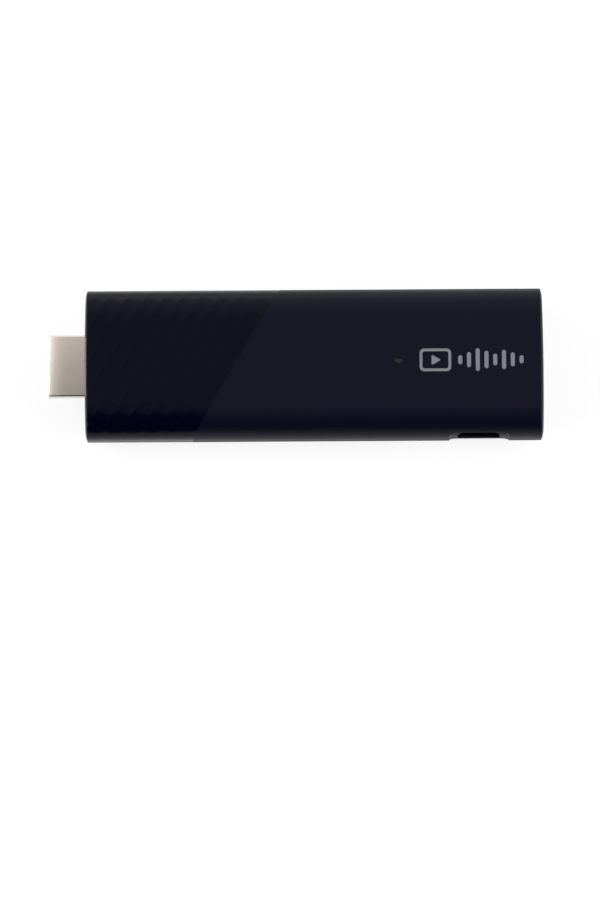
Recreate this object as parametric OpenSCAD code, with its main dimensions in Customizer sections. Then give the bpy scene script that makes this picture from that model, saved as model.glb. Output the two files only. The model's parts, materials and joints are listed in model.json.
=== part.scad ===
// Stick-type streaming media player: a two-shell plastic case with an HDMI plug at one end and a
// USB-C power socket in one side, holding a board with its chips, shields, heat sinks and antennas.
// X runs along the case with the plug towards -X, Z is up, and the origin is the centre of the base.

/* [Case] */
// Length of the case without the plug
case_len = 102.5; // [101:0.5:104]
// Width of the case
case_w = 34; // [33.6:0.1:36]
// Height of the case
case_h = 15; // [14.8:0.1:15.6]
// Height of the line where the two shells meet
joint_z = 8; // [7.9:0.05:8.1]
// Thickness of the shell walls
wall = 1.4; // [1.2:0.05:1.5]
// How far the rounding of a side reaches in from the edge
side_round = 7.2; // [6.5:0.1:7.5]
// Squareness of the rounded sides, 2 for an ellipse
side_power = 2.4; // [2.2:0.1:2.8]
// Radius of the bulge of both ends, seen from the side
end_bow_r = 70; // [50:5:120]
// Radius of the bulge of both ends, seen from above
plan_bow_r = 600; // [400:50:900]

/* [Grip waves] */
// Number of waves on each face
wave_count = 11; // [6:1:11]
// Distance between two wave ridges, along the case
wave_pitch = 4.1; // [3.9:0.1:4.2]
// Slant of the ridges, in degrees from square across
wave_slant = 30; // [20:1:35]
// Radius of the hollow of one wave
wave_r = 13; // [8:0.5:16]
// Ridge nearest the middle of the case, measured from the origin
wave_end_x = -13.2; // [-14:0.1:-12]

/* [HDMI plug] */
// How far the plug stands out of the case
plug_out = 8; // [7.5:0.5:12]
// Width of the plug
plug_w = 13.9; // [13.8:0.05:14]
// Height of the plug
plug_h = 4.45; // [4.4:0.05:4.55]
// Height of the plug's straight side walls, from its top
plug_side_h = 2.35; // [2.2:0.05:2.5]
// How far the lower part of the plug is set in on each side
plug_step = 1.35; // [1.2:0.05:1.5]
// Height of the plug's centre
plug_z = 7.25; // [7.2:0.05:7.3]

/* [USB-C socket] */
// Distance of the socket from the far end of the case
usb_from_end = 14.65; // [14.4:0.05:15]
// Width of the socket's metal sleeve
usb_w = 8.94; // [8.9:0.01:9]
// Height of the socket's metal sleeve
usb_h = 3.26; // [3.16:0.01:3.3]
// Length of the socket
usb_depth = 7.35; // [7:0.05:7.6]
// How far the mouth of the socket lies behind the side of the case
usb_set_in = 1.3; // [0.7:0.1:1.4]
// Width of the hollow around the socket
recess_w = 13.4; // [12.5:0.1:14]
// Height of the hollow around the socket
recess_h = 8.9; // [8:0.1:9]
// Depth of the hollow around the socket
recess_depth = 0.5; // [0.3:0.05:0.6]

/* [Board] */
// Thickness of the main board
board_t = 1; // [0.8:0.1:1]
// Half the width of the main board
board_half_w = 14.6; // [14.5:0.05:14.6]
// Travel of the reset button
reset_travel = 0.25; // [0.2:0.05:0.3]

/* [Hidden] */
$fn = 48;

front_x = -(case_len + plug_out) / 2 + plug_out;
back_x = (case_len + plug_out) / 2;
top_z = case_h;
board_top = plug_z + 0.55;
board_bottom = board_top - board_t;
board_front_x = front_x + 2.75;
board_back_x = back_x - 2.25;
board_notch_x = board_front_x + 5.5;
overlap = 0.5;
gap = 0.05;

lip_h = 0.8;
lip_wall = wall / 2;
// Depth of the first wave as a share of a full one, and the number of waves until they are full
wave_fade = 0.35;
wave_full = 7;
hook_xs_far = [-26, 6, 40];
hook_xs_near = [-26, 6];
hook_w = 4;
hook_bottom = 4.9;
screw_xy = [[front_x + 12.75, 11.2], [front_x + 12.75, -11.2]];
screw_r = 0.7;
pin_xy = [[20, -12.4], [back_x - 5.75, 11.4]];
pin_r = 0.65;
holder_xy = [[-30, 13], [-30, -13], [20, 12.6], [16.4, -13]];

plug_tip_x = front_x - plug_out;
plug_rear_x = board_notch_x - 0.6;
plug_sheet = 0.35;
plug_corner = 0.45;
plug_gap = 0.15;
plug_mouth = 1.3;
slot_w = 10.8;
contact_t = 0.2;
contact_half_w = 0.2;
contact_start_x = plug_tip_x + plug_mouth + 0.3;

usb_x = back_x - usb_from_end;
usb_z = board_top + usb_h / 2 + 0.02;
usb_front_y = -case_w / 2 + usb_set_in;
usb_rear_y = usb_front_y + usb_depth;
usb_sheet = 0.3;
usb_tongue_y0 = usb_front_y + 0.7;
usb_block_y = usb_rear_y - 2;
usb_tongue_half_w = 3.3;
usb_tongue_t = 0.7;
usb_contact_pitch = 0.5;
usb_contact_t = 0.07;
recess_x = usb_x + 0.2;
recess_z = joint_z - 0.25;

lamp_x = back_x - 32.35;
lamp_r = 0.6;
lamp_set_in = 0.7;
lamp_collar_r = 1.3;
lamp_foot_r = 0.8;
reset_xy = [24, 6];
reset_case_w = 3.6;
reset_case_h = 1.5;
reset_hole_r = 0.8;
reset_button_r = 0.7;

// Parts on the board: their middles as [x, y] and their sizes as [length, width, height]
processor_xy = [-14, 0];
processor_size = [14, 14, 1.2];
memory_xy = [[4, -6], [4, 6]];
memory_size = [8, 10, 1];
storage_size = [11.5, 13, 1];
power_chip_xy = [31.4, -6.4];
power_chip_size = [4, 4, 0.8];
surge_xy = [[-32.5, -3.2], [-32.5, 3.2]];
surge_size = [1.4, 3, 0.6];
inductor_xy = [[26.6, -11], [31.4, -11], [26.6, -6.2]];
inductor_size = [3.6, 3.6, 1.8];
inductor_dip_r = 0.9;
bulk_xy = [[38.5, -5.2], [43.5, -5.2]];
bulk_size = [3.5, 2.8, 1.9];
ceramic_size = [1, 1.6, 0.6];
ceramic_pitch = 2;
small_ceramic_size = [1.6, 0.8, 0.5];
large_ceramic_size = [2, 1.2, 1.2];
main_crystal_xy = [-3.5, 9.6];
main_crystal_size = [3.2, 2.5, 0.7];
wireless_crystal_xy = [43, 3];
wireless_crystal_size = [2.5, 2, 0.6];
led_size = [1.6, 0.8, 0.6];
wireless_xy = [33.4, 5.4];
wireless_size = [12, 13, 0.8];
can_xy = [33.4, 4.7];
can_size = [11, 10.6, 1.5];

// Antenna carrier at the far end: its stretch along the case, half its width, its height and its wall
carrier_x0 = back_x - 7.6;
carrier_x1 = back_x - 2.8;
carrier_half_w = 9;
carrier_h = 4;
carrier_wall = 0.8;
antenna_w = 1.4;

shield_t = 0.2;
top_shield = [-27, 13, 12];
top_shield_h = 1.7;
bottom_shield = [-24, -4, 9];
bottom_shield_h = 1.5;
sink = [-30, 16, 11];
sink_t = 1.2;
fin_t = 0.8;
fin_pitch = 2.5;
fin_ys = [for (i = [-4:4]) i * fin_pitch];
lid_top = board_top + top_shield_h + shield_t;
lid_bottom = board_bottom - bottom_shield_h - shield_t;
pad_t = 1;

// ---- shared outlines ----

// Point on the rounded side at the angle a, 0 at the joint and 90 at the flat face
function round_point(a, reach, rise) =
    [reach * pow(cos(a), 2 / side_power), rise * pow(sin(a), 2 / side_power)];

// Section of the case across its length, moved in by t
function case_section(t) =
    let (
        flat = case_w / 2 - side_round,
        reach = side_round - t,
        up = case_h - joint_z - t,
        down = joint_z - t,
        upper = [for (a = [0:6:90]) round_point(a, reach, up)],
        lower = [for (a = [84:-6:6]) round_point(a, reach, down)],
        last = len(upper) - 1,
        base = [flat, joint_z - down]
    )
    concat(
        [for (p = upper) [flat + p[0], joint_z + p[1]]],
        [for (i = [last:-1:0]) [-flat - upper[i][0], joint_z + upper[i][1]]],
        [for (i = [len(lower) - 1:-1:0]) [-flat - lower[i][0], joint_z - lower[i][1]]],
        [[-base[0], base[1]], base],
        [for (p = lower) [flat + p[0], joint_z - p[1]]]
    );

// The whole case as one closed form, moved in by t on every side
module case_form(t) {
    intersection() {
        translate([front_x - 1, 0, 0]) rotate([90, 0, 90]) linear_extrude(case_len + 2)
            polygon(case_section(t));
        end_bow(front_x + end_bow_r, t);
        end_bow(back_x - end_bow_r, t);
        plan_bow(front_x + plan_bow_r, t);
        plan_bow(back_x - plan_bow_r, t);
    }
}

module end_bow(x, t) {
    translate([x, 0, joint_z]) rotate([90, 0, 0])
        cylinder(r = end_bow_r - t, h = case_w + 2, center = true, $fn = 360);
}

module plan_bow(x, t) {
    translate([x, 0, case_h / 2]) cylinder(r = plan_bow_r - t, h = case_h + 2, center = true, $fn = 1440);
}

// A slab over the whole case from the height z0 to z1
module layer(z0, z1) {
    translate([front_x - 2, -case_w / 2 - 2, z0]) cube([case_len + 4, case_w + 4, z1 - z0]);
}

// A block between two corners
module block(low, high) {
    translate(low) cube(high - low);
}

// A block centred on xy that stands on z0
module chip(xy, z0, size) {
    translate([xy[0] - size[0] / 2, xy[1] - size[1] / 2, z0]) cube(size);
}

module post(xy, r, z0, z1) {
    translate([xy[0], xy[1], z0]) cylinder(r = r, h = z1 - z0);
}

// Rectangle with round corners, centred
module round_rect(w, h, r) {
    union() {
        square([w - 2 * r, h], center = true);
        square([w, h - 2 * r], center = true);
        for (sx = [-1, 1]) {
            for (sy = [-1, 1]) {
                translate([sx * (w / 2 - r), sy * (h / 2 - r)]) circle(r = r);
            }
        }
    }
}

// Outline of the plug, wide above and set in below, moved in by t
module plug_outline(t) {
    top = plug_h / 2 - t;
    side = plug_w / 2 - t;
    shoulder = plug_h / 2 - plug_side_h + t / 2;
    low_side = side - plug_step;
    polygon([
        [side - plug_corner, top], [side, top - plug_corner], [side, shoulder],
        [low_side, shoulder - plug_step / 2], [low_side, -top + plug_corner], [low_side - plug_corner, -top],
        [-low_side + plug_corner, -top], [-low_side, -top + plug_corner],
        [-low_side, shoulder - plug_step / 2], [-side, shoulder], [-side, top - plug_corner],
        [-side + plug_corner, top]
    ]);
}

module plug_bar(x0, x1, t) {
    translate([x0, 0, plug_z]) rotate([90, 0, 90]) linear_extrude(x1 - x0) plug_outline(t);
}

module usb_bar(y0, y1, w, h) {
    translate([usb_x, y1, usb_z]) rotate([90, 0, 0]) linear_extrude(y1 - y0) round_rect(w, h, h / 2 - 0.01);
}

// The skin taken away around the socket, as deep as recess_depth
module usb_recess() {
    difference() {
        translate([recess_x, -case_w / 2 + 3, recess_z]) rotate([90, 0, 0]) linear_extrude(6)
            round_rect(recess_w, recess_h, 1.6);
        case_form(recess_depth);
    }
}

// Opening for the socket's sleeve, with a round top and square lower corners
module usb_opening() {
    w = usb_w + 0.46;
    h = usb_h + 0.44;
    usb_low_z = usb_z - usb_h / 2 - 0.22;
    translate([usb_x, -case_w / 2 + 4, usb_z]) rotate([90, 0, 0]) linear_extrude(8) {
        round_rect(w, h, 1.6);
        translate([-w / 2, usb_low_z - usb_z]) square([w, h / 2]);
    }
}

// Hollows of the grip waves, cut along slanted lines into the upper or lower face
module grip_waves(face_z, side) {
    step = wave_pitch * cos(wave_slant);
    rise = wave_r - sqrt(wave_r * wave_r - step * step / 4);
    for (i = [0:wave_count - 1]) {
        depth = rise * min(1, wave_fade + (1 - wave_fade) * i / wave_full);
        translate([wave_end_x - (i + 0.5) * wave_pitch, 0, face_z + side * (wave_r - depth)])
            rotate([90, 0, -wave_slant]) cylinder(r = wave_r, h = 60, center = true, $fn = 180);
    }
}

// ---- case ----

module hook(x, side) {
    translate([x - hook_w / 2, 0, 0]) {
        mirror([0, side < 0 ? 1 : 0, 0]) {
            block([0, 14.45, hook_bottom], [hook_w, 15.05, 10.2]);
            block([0, 14.45, joint_z + lip_h + 0.2], [hook_w, 16, 10.2]);
            block([0, 15.05, hook_bottom], [hook_w, 15.6, hook_bottom + 0.8]);
        }
    }
}

module hook_pocket(x, side) {
    mirror([0, side < 0 ? 1 : 0, 0])
        block([x - hook_w / 2 - 0.2, 14.9, hook_bottom - 0.2], [x + hook_w / 2 + 0.2, 15.8, hook_bottom + 1]);
}

module lip_gap(x, side) {
    mirror([0, side < 0 ? 1 : 0, 0])
        block([x - hook_w / 2 - 0.2, 14, joint_z - 0.4], [x + hook_w / 2 + 0.2, 16.2, joint_z + lip_h + 0.1]);
}

module upper_shell() color([0.1, 0.11, 0.15]) {
    difference() {
        union() {
            difference() {
                intersection() {
                    case_form(0);
                    layer(joint_z, top_z + 1);
                }
                case_form(wall);
                intersection() {
                    case_form(lip_wall);
                    layer(joint_z - 1, joint_z + lip_h + gap);
                }
            }
            for (x = hook_xs_far) hook(x, 1);
            for (x = hook_xs_near) hook(x, -1);
            for (xy = holder_xy) post(xy, 1.2, board_top, case_h - 1.3);
            post([lamp_x, 0], 2.2, case_h - wall - 2.2, case_h - wall / 2);
        }
        grip_waves(top_z, 1);
        plug_bar(plug_tip_x, front_x + 3, -plug_gap);
        usb_recess();
        usb_opening();
        post([lamp_x, 0], lamp_r, case_h - 3, case_h + 1);
        post([lamp_x, 0], lamp_collar_r + gap, case_h - wall - 3, case_h - wall + 0.2);
    }
}

module lower_shell() color([0.09, 0.1, 0.14]) {
    difference() {
        union() {
            difference() {
                union() {
                    intersection() {
                        case_form(0);
                        layer(-1, joint_z);
                    }
                    intersection() {
                        case_form(lip_wall + gap);
                        layer(joint_z - 2, joint_z + lip_h);
                    }
                }
                case_form(wall);
            }
            for (xy = screw_xy) post(xy, 2, 1, board_bottom);
            for (xy = pin_xy) {
                post(xy, 1.7, 1, board_bottom);
                post(xy, pin_r, board_bottom - overlap, board_top + 0.4);
            }
            post(reset_xy, 1.8, wall - 0.4, board_bottom - reset_case_h - 0.8);
        }
        for (xy = screw_xy) post(xy, screw_r + 0.03, 2.2, board_bottom + 1);
        for (x = hook_xs_far) {
            hook_pocket(x, 1);
            lip_gap(x, 1);
        }
        for (x = hook_xs_near) {
            hook_pocket(x, -1);
            lip_gap(x, -1);
        }
        post(reset_xy, reset_hole_r, -1, board_bottom);
        grip_waves(0, -1);
        plug_bar(plug_tip_x, front_x + 3, -plug_gap);
        usb_recess();
        usb_opening();
    }
}

module light_pipe() color([0.3, 0.32, 0.35, 0.7]) {
    post([lamp_x, 0], lamp_r - 0.03, case_h - wall, case_h - lamp_set_in);
    post([lamp_x, 0], lamp_collar_r, case_h - wall - 0.8, case_h - wall + 0.15);
    post([lamp_x, 0], lamp_foot_r, board_top + 0.75, case_h - wall - 0.4);
}

// ---- HDMI plug ----

// The contact strips: ten above and nine below, one millimetre apart, with tails on the board
module hdmi_contact_set() {
    x1 = board_notch_x + 2;
    for (y = [-4.5:4.5])
        block([contact_start_x, y - contact_half_w, board_top],
              [x1, y + contact_half_w, board_top + contact_t]);
    for (y = [-4:4])
        block([contact_start_x, y - contact_half_w, board_bottom - contact_t],
              [x1, y + contact_half_w, board_bottom]);
}

module hdmi_shell() color([0.66, 0.63, 0.6]) {
    difference() {
        plug_bar(plug_tip_x, plug_rear_x, 0);
        plug_bar(plug_tip_x - 1, plug_rear_x + 1, plug_sheet);
    }
}

module hdmi_insulator() color([0.05, 0.05, 0.06]) {
    difference() {
        plug_bar(plug_tip_x + plug_mouth, plug_rear_x, plug_sheet);
        block([plug_tip_x - 1, -slot_w / 2, board_bottom - 0.1],
              [front_x + 0.8, slot_w / 2, board_top + 0.1]);
        hdmi_contact_set();
    }
}

module hdmi_contacts() color([0.85, 0.68, 0.3]) {
    hdmi_contact_set();
}

module hdmi_bracket() color([0.6, 0.6, 0.62]) {
    x0 = front_x + 3.75;
    x1 = board_notch_x - 1.5;
    half = plug_w / 2 + plug_sheet;
    difference() {
        union() {
            block([x0, -half, plug_z - plug_h / 2 - plug_sheet],
                  [x1, half, plug_z + plug_h / 2 + plug_sheet]);
            block([x0, -half - 3, board_top], [x1, half + 3, board_top + plug_sheet]);
        }
        block([x0 - 1, -plug_w / 2, plug_z - plug_h / 2], [x1 + 1, plug_w / 2, plug_z + plug_h / 2]);
    }
}

// ---- USB-C socket ----

// The contact strips: twelve above and twelve below, half a millimetre apart
module usb_contact_set() {
    for (i = [0:11]) {
        x = usb_x + (i - 5.5) * usb_contact_pitch;
        usb_contact(x, usb_z + usb_tongue_t / 2, usb_rear_y + 0.35, usb_rear_y + 0.95);
        usb_contact(x, usb_z - usb_tongue_t / 2 - usb_contact_t, usb_rear_y + 0.05, usb_rear_y + 0.28);
    }
}

// One strip at the height z, its riser at leg_y and its foot on the board up to foot_y
module usb_contact(x, z, leg_y, foot_y) {
    half = 0.12;
    t = usb_contact_t;
    block([x - half, usb_tongue_y0 + 0.3, z], [x + half, leg_y + t, z + t]);
    block([x - half, leg_y, board_top], [x + half, leg_y + t, z + t]);
    block([x - half, leg_y, board_top], [x + half, foot_y, board_top + t]);
}

module usb_c_shell() color([0.8, 0.8, 0.8]) {
    difference() {
        union() {
            usb_bar(usb_front_y, usb_rear_y, usb_w, usb_h);
            for (s = [-1, 1]) {
                x = usb_x + s * (usb_w / 2 + 0.1);
                block([x - 0.35, usb_front_y + 3, board_top], [x + 0.35, usb_front_y + 4.6, usb_z]);
            }
        }
        usb_bar(usb_front_y - 1, usb_rear_y + 1, usb_w - 2 * usb_sheet, usb_h - 2 * usb_sheet - 0.1);
    }
}

module usb_c_insulator() color([0.05, 0.05, 0.06]) {
    difference() {
        union() {
            usb_bar(usb_block_y, usb_rear_y, usb_w - 2 * usb_sheet, usb_h - 2 * usb_sheet - 0.1);
            block([usb_x - usb_tongue_half_w, usb_tongue_y0, usb_z - usb_tongue_t / 2],
                  [usb_x + usb_tongue_half_w, usb_block_y + overlap, usb_z + usb_tongue_t / 2]);
        }
        usb_contact_set();
        usb_mid_plate_form();
    }
}

module usb_c_contacts() color([0.85, 0.68, 0.3]) {
    usb_contact_set();
}

module usb_mid_plate_form() {
    half_w = usb_tongue_half_w + gap;
    half_t = 0.07;
    block([usb_x - half_w, usb_tongue_y0 + 1.2, usb_z - half_t],
          [usb_x + half_w, usb_rear_y - 0.6, usb_z + half_t]);
}

module usb_c_mid_plate() color([0.7, 0.7, 0.72]) {
    usb_mid_plate_form();
}

// ---- board and parts on it ----

module main_board() color([0.06, 0.22, 0.14]) {
    difference() {
        block([board_front_x, -board_half_w, board_bottom], [board_back_x, board_half_w, board_top]);
        block([board_front_x - 1, -8, board_bottom - 1], [board_notch_x, 8, board_top + 1]);
        for (sy = [-1, 1]) {
            for (x = hook_xs_far) {
                block([x - 2.4, sy > 0 ? 14.2 : -16, board_bottom - 1],
                      [x + 2.4, sy > 0 ? 16 : -14.2, board_top + 1]);
            }
        }
        for (xy = screw_xy) post(xy, 0.85, board_bottom - 1, board_top + 1);
        for (xy = pin_xy) post(xy, pin_r + 0.1, board_bottom - 1, board_top + 1);
    }
}

module processor() color([0.08, 0.08, 0.09]) {
    chip(processor_xy, board_top, processor_size);
}

module memory_chips() color([0.08, 0.08, 0.09]) {
    for (xy = memory_xy) chip(xy, board_top, memory_size);
}

module storage_chip() color([0.08, 0.08, 0.09]) {
    chip(processor_xy, board_bottom - storage_size[2], storage_size);
}

module power_chip() color([0.09, 0.09, 0.1]) {
    chip(power_chip_xy, board_top, power_chip_size);
}

module surge_protectors() color([0.09, 0.09, 0.1]) {
    for (xy = surge_xy) chip(xy, board_top, surge_size);
}

module power_inductors() color([0.2, 0.2, 0.21]) {
    top = board_top + inductor_size[2];
    for (xy = inductor_xy) {
        difference() {
            chip(xy, board_top, inductor_size);
            post(xy, inductor_dip_r, top - 0.15, top + 1);
        }
    }
}

module bulk_capacitors() color([0.75, 0.55, 0.15]) {
    for (xy = bulk_xy) chip(xy, board_top, bulk_size);
}

module ceramic_capacitors() color([0.7, 0.6, 0.48]) {
    row = [for (i = [0:6]) -20 + ceramic_pitch * i];
    for (sy = [-1, 1]) {
        for (x = row) chip([x, sy * 9], board_top, ceramic_size);
        for (i = [0:4]) chip([-25.4, sy * (2 + 1.8 * i)], board_top, small_ceramic_size);
    }
    for (i = [0:3]) chip([18, 3 + ceramic_pitch * i], board_top, large_ceramic_size);
    for (x = row) chip([x, 7.7], board_bottom - ceramic_size[2], ceramic_size);
}

module clock_crystals() color([0.75, 0.75, 0.77]) {
    chip(main_crystal_xy, board_top, main_crystal_size);
    chip(wireless_crystal_xy, board_top, wireless_crystal_size);
}

module status_led() color([0.95, 0.95, 0.9]) {
    chip([lamp_x, 0], board_top, led_size);
}

module wireless_board() color([0.05, 0.12, 0.3]) {
    chip(wireless_xy, board_top, wireless_size);
}

module wireless_can() color([0.72, 0.72, 0.74]) {
    z0 = board_top + wireless_size[2];
    difference() {
        chip(can_xy, z0, can_size);
        chip(can_xy, z0 - shield_t, can_size - [2 * shield_t, 2 * shield_t, 0]);
    }
}

module end_antenna_carrier() color([0.85, 0.83, 0.78]) {
    inner_half_w = carrier_half_w - carrier_wall;
    difference() {
        block([carrier_x0, -carrier_half_w, board_top], [carrier_x1, carrier_half_w, board_top + carrier_h]);
        block([carrier_x0 + carrier_wall, -inner_half_w, board_top - 1],
              [carrier_x1 - carrier_wall, inner_half_w, board_top + carrier_h - carrier_wall]);
    }
}

module end_antenna() color([0.8, 0.66, 0.35]) {
    z0 = board_top + carrier_h;
    z1 = z0 + shield_t;
    block([carrier_x0, -carrier_half_w, z0], [carrier_x0 + antenna_w, carrier_half_w, z1]);
    block([carrier_x0, carrier_half_w - antenna_w, z0], [carrier_x1, carrier_half_w, z1]);
    block([carrier_x1 - antenna_w, -2, z0], [carrier_x1, carrier_half_w, z1]);
    for (y = [-carrier_half_w, -5]) block([carrier_x0 - shield_t, y, board_top], [carrier_x0, y + 1.2, z1]);
}

module side_antenna() color([0.8, 0.66, 0.35]) {
    y = 13.3;
    block([27.6, y, board_top + 2.2], [37, y + shield_t, board_top + 3.6]);
    for (x = [27.6, 30.4]) block([x, y, board_top], [x + 1, y + shield_t, board_top + 3]);
    block([36, y, board_top + 1.2], [37, y + shield_t, board_top + 3]);
}

// ---- shields and cooling ----

// An open sheet wall around the area a = [x0, x1, half width]
module shield_wall(a, z0, z1) {
    difference() {
        block([a[0], -a[2], z0], [a[1], a[2], z1]);
        block([a[0] + shield_t, -a[2] + shield_t, z0 - 1], [a[1] - shield_t, a[2] - shield_t, z1 + 1]);
    }
}

module top_shield_frame() color([0.74, 0.74, 0.76]) {
    shield_wall(top_shield, board_top, lid_top - shield_t);
}

// A lid with its rim turned over the outside of the wall
module shield_lid(a, z0, z1, rim_z) {
    edge = shield_t + 0.02;
    grown = [a[0] - edge, a[1] + edge, a[2] + edge];
    block([grown[0], -grown[2], z0], [grown[1], grown[2], z1]);
    shield_wall(grown, min(rim_z, z0), max(rim_z, z1));
}

module top_shield_lid() color([0.78, 0.78, 0.8]) {
    shield_lid(top_shield, lid_top - shield_t, lid_top, lid_top - 1.2);
}

module bottom_shield_frame() color([0.74, 0.74, 0.76]) {
    shield_wall(bottom_shield, lid_bottom + shield_t, board_bottom);
}

module bottom_shield_lid() color([0.78, 0.78, 0.8]) {
    shield_lid(bottom_shield, lid_bottom, lid_bottom + shield_t, lid_bottom + 1.2);
}

module processor_pad() color([0.6, 0.65, 0.75]) {
    chip(processor_xy, board_top + processor_size[2], [12, 12, top_shield_h - processor_size[2]]);
}

module top_gap_pad() color([0.6, 0.65, 0.75]) {
    chip([-13, 0], lid_top, [24, 18, pad_t]);
}

module bottom_gap_pad() color([0.6, 0.65, 0.75]) {
    chip(processor_xy, lid_bottom - pad_t, [16, 14, pad_t]);
}

module top_heat_sink() color([0.7, 0.71, 0.73]) {
    z0 = lid_top + pad_t;
    block([sink[0], -sink[2], z0], [sink[1], sink[2], z0 + sink_t]);
    for (y = fin_ys)
        block([sink[0], y - fin_t / 2, z0 + sink_t - 0.1], [sink[1], y + fin_t / 2, case_h - wall - 0.4]);
}

module bottom_heat_sink() color([0.7, 0.71, 0.73]) {
    z1 = lid_bottom - pad_t;
    block([sink[0], -sink[2], z1 - sink_t], [sink[1], sink[2], z1]);
    for (y = fin_ys)
        block([sink[0], y - fin_t / 2, wall + 0.3], [sink[1], y + fin_t / 2, z1 - sink_t + 0.1]);
}

// ---- reset button and fasteners ----

module reset_switch_case() color([0.12, 0.12, 0.13]) {
    z0 = board_bottom - reset_case_h;
    difference() {
        chip(reset_xy, z0, [reset_case_w, reset_case_w, reset_case_h]);
        post(reset_xy, 1.35, z0 + 0.3, board_bottom - 0.2);
        post(reset_xy, reset_button_r + 0.05, z0 - 1, z0 + 1);
    }
}

module reset_contact_dome() color([0.8, 0.76, 0.62]) {
    z1 = board_bottom - 0.2;
    difference() {
        post(reset_xy, 1.3, z1 - 0.18, z1);
        post(reset_xy, 1, z1 - 1, z1 - 0.1);
    }
}

module reset_button() color([0.85, 0.85, 0.82]) {
    z0 = board_bottom - reset_case_h;
    collar_z = z0 + 0.3;
    post(reset_xy, reset_button_r, z0 - 0.6, collar_z + 0.1);
    post(reset_xy, 1.1, collar_z, board_bottom - 0.38 - reset_travel - 0.05);
}

module board_screws() color([0.6, 0.6, 0.62]) {
    for (xy = screw_xy) {
        difference() {
            union() {
                post(xy, screw_r, 2.6, board_top + 0.1);
                post(xy, 1.6, board_top, board_top + 1);
            }
            translate([xy[0] - 0.15, xy[1] - 1, board_top + 0.5]) cube([0.3, 2, 1]);
            translate([xy[0] - 1, xy[1] - 0.15, board_top + 0.5]) cube([2, 0.3, 1]);
        }
    }
}

upper_shell();
lower_shell();
light_pipe();
hdmi_shell();
hdmi_insulator();
hdmi_contacts();
hdmi_bracket();
usb_c_shell();
usb_c_insulator();
usb_c_contacts();
usb_c_mid_plate();
main_board();
processor();
memory_chips();
storage_chip();
power_chip();
surge_protectors();
power_inductors();
bulk_capacitors();
ceramic_capacitors();
clock_crystals();
status_led();
wireless_board();
wireless_can();
end_antenna_carrier();
end_antenna();
side_antenna();
top_shield_frame();
top_shield_lid();
bottom_shield_frame();
bottom_shield_lid();
processor_pad();
top_gap_pad();
bottom_gap_pad();
top_heat_sink();
bottom_heat_sink();
reset_switch_case();
reset_contact_dome();
reset_button();
board_screws();
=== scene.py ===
"""Streaming media player: the looks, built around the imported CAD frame.

Sizes are in millimetres unless a comment says otherwise."""

import json
import math

import bmesh
import bpy
import numpy as np
from mathutils import Matrix, Vector


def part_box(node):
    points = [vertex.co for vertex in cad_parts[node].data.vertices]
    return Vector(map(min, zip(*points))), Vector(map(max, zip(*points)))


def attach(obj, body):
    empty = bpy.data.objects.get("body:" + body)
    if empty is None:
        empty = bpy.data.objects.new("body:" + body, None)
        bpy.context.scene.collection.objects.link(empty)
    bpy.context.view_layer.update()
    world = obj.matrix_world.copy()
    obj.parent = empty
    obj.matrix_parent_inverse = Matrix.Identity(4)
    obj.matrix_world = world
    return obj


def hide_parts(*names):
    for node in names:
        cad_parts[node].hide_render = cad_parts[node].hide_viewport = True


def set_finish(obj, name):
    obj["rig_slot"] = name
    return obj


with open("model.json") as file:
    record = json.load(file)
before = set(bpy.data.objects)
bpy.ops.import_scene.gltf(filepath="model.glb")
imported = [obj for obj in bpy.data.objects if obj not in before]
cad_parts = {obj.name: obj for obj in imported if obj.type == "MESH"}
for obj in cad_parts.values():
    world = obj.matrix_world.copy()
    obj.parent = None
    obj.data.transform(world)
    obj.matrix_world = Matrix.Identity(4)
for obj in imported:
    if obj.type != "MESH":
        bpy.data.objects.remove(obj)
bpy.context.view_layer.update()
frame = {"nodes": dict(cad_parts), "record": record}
scene = bpy.context.scene
MM = 0.001


def box_mm(node):
    """Lowest and highest corner of a CAD node, in millimetres."""
    low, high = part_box(node)
    return np.array(low) / MM, np.array(high) / MM


# ---- driving sizes: the outer ones come from the frame, the rest repeat the design's own values ----

case_low, case_high = box_mm("lower_shell")
FRONT_X, BACK_X, HALF_W = case_low[0], case_high[0], case_high[1]
TOP_Z = box_mm("upper_shell")[1][2]
JOINT_Z = 8.0
# The rounded sides: how far in they reach, and the power of their curve
SIDE_ROUND, SIDE_POWER = 7.2, 2.4
# The end faces: their bulge seen from the side and from above, their softened corner and their rim
END_BOW_R, PLAN_BOW_R = 70.0, 600.0
END_CORNER, END_CORNER_REACH, END_CORNER_POWER = 0.42, 1.6, 2.2
END_EDGE_R = 0.3
# The upper shell stands this much inside the lower one, and both have a fine round at the joint
UPPER_SET_IN = 0.03
JOINT_EDGE_R = 0.12
# Thickness of the outer skin: up to the top of the joint's lip, and elsewhere
LIP_WALL, LIP_TOP_Z = 0.7, 8.85
SKIN = 1.1
# The CAD's own inside takes over this far in, and the skin is this much thicker at both ends
LINING, END_WALL_EXTRA = 0.85, 0.3

# The grip waves: where they lie and how round their ridges are
WAVE_PITCH, WAVE_SLOPE, WAVE_END = 4.1, math.tan(math.radians(30)), -13.2
WAVE_RIDGE = 0.05
# Their depth on the flat face, first and last, and how many waves lie between; it fades over the sides
FACE_DEPTH_FIRST, FACE_DEPTH_LAST, FACE_WAVES = 0.01, 0.055, 8
FACE_FADE = [1.0, 0.2, 0.0]
# Their depth on the shoulders, the first wave's share of it, and the wave that has all of it
SHOULDER_DEPTH, SHOULDER_FIRST, SHOULDER_WAVES = 0.15, 0.35, 2
# Share of the shoulder's depth at distances from the middle of the face
SHOULDER_AT = [9.3, 10.3, 12.0, 13.6, 14.9, 15.8, 16.4]
SHOULDER_SHARE = [0.0, 0.45, 0.62, 1.0, 0.75, 0.15, 0.0]

plug_low, plug_high = box_mm("hdmi_shell")
PLUG_Z = (plug_low[2] + plug_high[2]) / 2
PLUG_SHEET, PLUG_EDGE_R, PLUG_GAP = 0.35, 0.12, 0.12
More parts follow.
